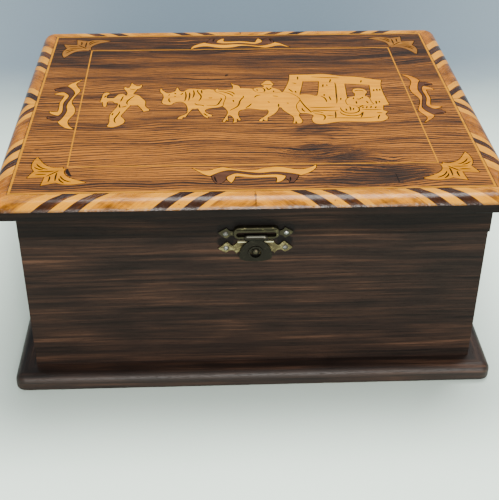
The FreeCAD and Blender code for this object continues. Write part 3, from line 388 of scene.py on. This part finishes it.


# ---------------------------------------------------------------- metals
# Places on the hasp, in mm: middle of the stud, half length and height band of the painted highlight on
# the hinge roll, foot and half width of the painted highlight on the bent lip.
STUD_Z = 86.6
ROLL_HIGHLIGHT_HALF = 5.2
ROLL_HIGHLIGHT_BAND = (96.7, 97.6)
LIP_FOOT = 92.1
LIP_HALF = 9.8


def old_metal(name, clean, patina, dirt, rough_low, rough_high, cover, lip_highlight):
    """Tarnished metal: patina in broad clouds, dirt in the crevices, a dark stud, painted highlights on
    roll and lip.
    """
    g = Graph(name)
    x, _, z = in_mm(g)
    cloud = g.noise(g.place, detail=4, roughness=0.65, scale=420)
    speck = g.noise(g.place, roughness=0.7, scale=2600)
    occlusion = g.node("ShaderNodeAmbientOcclusion", samples=8)
    occlusion.inputs["Distance"].default_value = 1.6 * MM
    crevice = g.sub(1.0, g.step(occlusion.outputs["AO"], 0.35, 0.85))
    age = g.step(g.weigh(cloud, (speck, 0.35)), cover - 0.12, cover + 0.12)
    colour = g.mix(age, clean, patina)
    colour = g.mix(g.mul(crevice, 0.85), colour, dirt)
    from_stud = g.math("SQRT", g.add(g.mul(x, x), g.power(g.sub(z, STUD_Z), 2.0)))
    colour = g.mix(g.mul(g.step(from_stud, 3.0, 2.4), 0.8), colour, rgb(38, 37, 34))
    # painted highlight along the top of the hinge roll
    roll_low, roll_high = ROLL_HIGHLIGHT_BAND
    roll = g.mul(g.step(z, roll_low, roll_low + 0.3), g.step(z, roll_high, roll_high - 0.2))
    roll_highlight = g.mul(g.step(g.size(x), ROLL_HIGHLIGHT_HALF, ROLL_HIGHLIGHT_HALF - 0.6), roll)
    colour = g.mix(g.mul(roll_highlight, 0.7), colour, rgb(128, 128, 116))
    # painted highlight on the bent lip of the strike plate
    if lip_highlight:
        lip_highlight_band = g.mul(g.step(z, LIP_FOOT, LIP_FOOT + 0.2), g.step(g.size(x), LIP_HALF, LIP_HALF - 0.4))
        colour = g.mix(g.mul(lip_highlight_band, 0.8), colour, rgb(206, 198, 160))
    rough = g.weigh(rough_low, (age, rough_high - rough_low), (speck, 0.12), (roll_highlight, -0.05))
    height = g.weigh(0.0, (cloud, 0.6), (speck, 0.5))
    return g.finish(colour, rough, g.bump(height, 0.35, 0.12), metallic=0.9)


# ---------------------------------------------------------------- dress the CAD nodes
# Name, grain along Y, brightness, latch halo with painted shadow, shine, nodes.
STAINED_WOODS = (
    ("moulding_x", False, 1.1, False, 0.3, ("base_moulding_front", "base_moulding_back")),
    ("moulding_y", True, 1.1, False, 0.3, ("base_moulding_left", "base_moulding_right")),
    ("wall_x", False, 1.0, False, 0.1, ("wall_back", "lid_rail_back")),
    ("board_wood", False, 0.4, False, 0.1, ("lid_board",)),
    ("wall_front", False, 1.0, True, 0.1, ("wall_front",)),
    # the front rail is darkened to 0.4 brightness as painted shade under the lid's overhang
    ("rail_front", False, 0.4, True, 0.1, ("lid_rail_front",)),
    ("wall_y", True, 1.0, False, 0.1, ("wall_left", "wall_right", "lid_rail_left", "lid_rail_right")),
)

GLUE = (16, 9, 5)
LIGHT_INLAYS = ("inlay_scroll_front", "inlay_scroll_back", "inlay_scroll_left", "inlay_walker",
                "inlay_lead_ox", "inlay_rear_ox", "inlay_driver", "inlay_carriage", "inlay_passenger")
# Name, nodes, then the low, middle, high and groove colours.
INLAY_WOODS = (
    ("core_panel", ("lid_core_panel",), (8, 5, 4), (11, 7, 5), (15, 9, 7), (8, 5, 4)),
    ("string_wood", ("stringing_outer", "stringing_inner"),
     (140, 92, 4), (172, 112, 0), (190, 126, 0), GLUE),
    ("light_inlay_wood", LIGHT_INLAYS, (170, 108, 0), (196, 129, 0), (212, 142, 0), GLUE),
    ("front_fan_wood", ("inlay_fan_1", "inlay_fan_2"), (134, 84, 4), (172, 110, 2), (194, 128, 2), GLUE),
    ("back_fan_wood", ("inlay_fan_3", "inlay_fan_4"), (96, 60, 22), (124, 80, 28), (150, 98, 34), GLUE),
    ("right_scroll_wood", ("inlay_scroll_right",), (138, 80, 10), (178, 110, 8), (206, 134, 10), GLUE),
    ("dark_inlay_wood", [f"inlay_scroll_shade_{side}" for side in SIDES],
     (46, 28, 18), (68, 42, 28), (90, 58, 38), GLUE),
    ("plug_wood", ("inlay_plugs",), (18, 11, 8), (26, 16, 11), (38, 24, 16), GLUE),
)

LONG_SIDES = ("front", "back")
SHORT_SIDES = ("left", "right")
# Name, sides, mottle, then the low, middle, high and pore colours.
STRIP_WOODS = (
    ("honey", LONG_SIDES, 0.7, (96, 56, 6), (176, 110, 0), (200, 132, 0), (80, 42, 8)),
    ("honey", SHORT_SIDES, 0.7, (78, 44, 8), (134, 78, 6), (172, 104, 4), (80, 42, 8)),
    ("light", SIDES, 0.1, (168, 106, 0), (194, 128, 0), (210, 142, 0), (120, 68, 2)),
    ("dark", SIDES, 0.1, (24, 11, 4), (46, 23, 8), (104, 58, 10), (14, 7, 4)),
)

SMALL_STEEL = ("latch_loop_nails", "latch_strike_nails", "hinge_case_nails", "hinge_lid_nails",
               "hinge_pins")
HINGE_LEAVES = ("hinge_case_leaves", "hinge_lid_leaves")
# Name, nodes, painted highlight on the lip, lowest and highest roughness, patina cover, then the clean,
# patina and dirt colours.
METALS = (
    ("aged_brass_lipped", ("latch_strike_plate",), True, 0.28, 0.52, 0.62,
     (134, 122, 84), (80, 72, 50), (12, 10, 6)),
    ("aged_brass_hinge", HINGE_LEAVES, False, 0.30, 0.46, 0.62,
     (120, 108, 74), (92, 82, 56), (12, 10, 6)),
    ("aged_brass_dull", ("latch_loop_plate",), False, 0.28, 0.5, 0.50,
     (112, 106, 74), (50, 47, 34), (9, 7, 5)),
    ("aged_brass_dark", ("latch_tongue",), False, 0.34, 0.56, 0.50,
     (58, 55, 44), (32, 30, 24), (8, 7, 5)),
    ("steel_nail", SMALL_STEEL, False, 0.25, 0.48, 0.66, (150, 150, 146), (84, 82, 78), (14, 12, 10)),
)


def dress(material, *names):
    for name in names:
        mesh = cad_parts[name].data
        mesh.materials.clear()
        mesh.materials.append(material)


def dress_all():
    for name, turned, light, halo_and_shadow, shine, nodes in STAINED_WOODS:
        dress(stained_wood(name, turned, light, halo_and_shadow, shine), *nodes)
    dress(plain_wood(), "bottom_panel")
    dress(field_wood(), "field_veneer")
    for name, nodes, *colours in INLAY_WOODS:
        dress(inlay_wood(name, *[rgb(*colour) for colour in colours]), *nodes)
    for name, sides, mottle, *colours in STRIP_WOODS:
        for side in sides:
            wood = strip_wood(name, side, *[rgb(*colour) for colour in colours], mottle)
            dress(wood, f"border_{side}_{name}")
    for name, nodes, lip_highlight, rough_low, rough_high, cover, *colours in METALS:
        metal = old_metal(name, *[rgb(*colour) for colour in colours], rough_low, rough_high, cover, lip_highlight)
        dress(metal, *nodes)


# ---------------------------------------------------------------- stage, lights, camera
# Floor places in m: half size of the box on the floor, width of the painted shadow round it, start and
# end of the way to the cool grey behind, middle line of the darker backdrop and how it fades to each
# side.
BOX_HALF = (0.137, 0.119)
SHADE_WIDTH = 0.075
SHADE_DEPTH = 0.42
BEHIND = (0.10, 0.40)
DARK_MIDDLE = 0.02
DARK_FADE = (0.05, 0.45)


def pale_paper():
    """Pale floor with a painted shadow round the box, that turns cool grey towards the backdrop, partly
    as painted shade.
    """
    g = Graph("pale_floor")
    cloud = g.noise(g.place, scale=9)
    fibre = g.noise(g.place, detail=4, scale=240)
    past_x = g.higher(g.sub(g.size(g.x), BOX_HALF[0]), 0.0)
    past_y = g.higher(g.sub(g.size(g.y), BOX_HALF[1]), 0.0)
    distance = g.math("SQRT", g.add(g.mul(past_x, past_x), g.mul(past_y, past_y)))
    # painted shadow of the box on the floor, deepest next to the box
    shade = g.mul(g.step(distance, SHADE_WIDTH, 0.0), SHADE_DEPTH)
    near = g.mix(cloud, rgb(220, 240, 227), rgb(230, 248, 237))
    near = g.mix(shade, near, rgb(150, 162, 162))
    # the cool grey behind is partly the backdrop's own colour and partly painted shade; it is darker in
    # the middle
    side = g.step(g.size(g.sub(g.x, DARK_MIDDLE)), *DARK_FADE)
    far = g.mix(side, rgb(92, 108, 121), rgb(128, 144, 154))
    behind = g.step(g.weigh(g.y, (cloud, 0.06)), *BEHIND)
    colour = g.mix(behind, near, far)
    return g.finish(colour, g.weigh(0.6, (fibre, 0.2)), g.bump(fibre, 0.08, 0.3), specular=0.3)


# Floor sizes in m: front end, start and radius of the bend behind, top of the backdrop, half width.
FLOOR_FRONT = -2.5
FLOOR_BACK = 0.75
FLOOR_BEND = 0.35
FLOOR_TOP = 2.6
FLOOR_HALF = 3.0
BEND_STEPS = 12


def floor():
    """Pale floor that curves up into a backdrop behind the object."""
    profile = [(FLOOR_FRONT, 0.0)]
    for step in range(BEND_STEPS + 1):
        angle = step / BEND_STEPS * math.pi / 2
        profile.append((FLOOR_BACK + FLOOR_BEND * math.sin(angle), FLOOR_BEND * (1 - math.cos(angle))))
    profile.append((FLOOR_BACK + FLOOR_BEND, FLOOR_TOP))
    vertices = []
    for y, z in profile:
        vertices += [(-FLOOR_HALF, y, z), (FLOOR_HALF, y, z)]
    faces = [(2 * i, 2 * i + 1, 2 * i + 3, 2 * i + 2) for i in range(len(profile) - 1)]
    mesh = bpy.data.meshes.new("floor")
    mesh.from_pydata(vertices, [], faces)
    for face in mesh.polygons:
        face.use_smooth = True
    mesh.materials.append(pale_paper())
    piece = bpy.data.objects.new("floor", mesh)
    bpy.context.scene.collection.objects.link(piece)


# Name, place, width, height, power, colour.
LAMPS = (
    ("key", (0.16, 0.30, 1.35), 0.8, 0.7, 40, (1.0, 0.98, 0.94)),
    ("side_window", (0.60, -0.95, 0.24), 0.30, 0.16, 2.6, (1.0, 0.98, 0.95)),
    ("front_window", (0.06, -1.45, 0.66), 0.56, 0.12, 29, (1.0, 0.96, 0.90)),
)
LAMP_TARGET = Vector((0, 0, 0.06))
WORLD_COLOUR = (0.95, 0.97, 1.0, 1)
WORLD_STRENGTH = 0.5


def area_light(name, place, width, height, power, colour):
    data = bpy.data.lights.new(name, "AREA")
    data.shape = "RECTANGLE"
    data.size = width
    data.size_y = height
    data.energy = power
    data.color = colour
    lamp = bpy.data.objects.new(name, data)
    lamp.location = place
    lamp.rotation_euler = (LAMP_TARGET - Vector(place)).to_track_quat("-Z", "Y").to_euler()
    bpy.context.scene.collection.objects.link(lamp)


def lights():
    world = bpy.data.worlds.new("studio")
    world.use_nodes = True
    sky = world.node_tree.nodes["Background"]
    sky.inputs["Color"].default_value = WORLD_COLOUR
    sky.inputs["Strength"].default_value = WORLD_STRENGTH
    bpy.context.scene.world = world
    for lamp in LAMPS:
        area_light(*lamp)


# Camera: place in m, turns in radians, focal length and sensor width in mm.
CAMERA_PLACE = (-0.0238, -0.5452, 0.3782)
CAMERA_YAW = -0.047
CAMERA_DOWN = 0.587
CAMERA_ROLL = 0.007
CAMERA_LENS = 70.64
CAMERA_SENSOR = 36


def camera():
    data = bpy.data.cameras.new("camera")
    data.lens = CAMERA_LENS
    data.sensor_width = CAMERA_SENSOR
    data.clip_start = 0.01
    view = bpy.data.objects.new("camera", data)
    bpy.context.scene.collection.objects.link(view)
    level = Vector((-math.sin(CAMERA_YAW), math.cos(CAMERA_YAW), 0))
    forward = math.cos(CAMERA_DOWN) * level - math.sin(CAMERA_DOWN) * Vector((0, 0, 1))
    right = Vector((math.cos(CAMERA_YAW), math.sin(CAMERA_YAW), 0))
    up = right.cross(forward)
    turned_right = math.cos(CAMERA_ROLL) * right + math.sin(CAMERA_ROLL) * up
    turned_up = math.cos(CAMERA_ROLL) * up - math.sin(CAMERA_ROLL) * right
    axes = Matrix((turned_right, turned_up, -forward)).transposed()
    view.matrix_world = Matrix.Translation(CAMERA_PLACE) @ axes.to_4x4()
    bpy.context.scene.camera = view


dress_all()
floor()
lights()
camera()
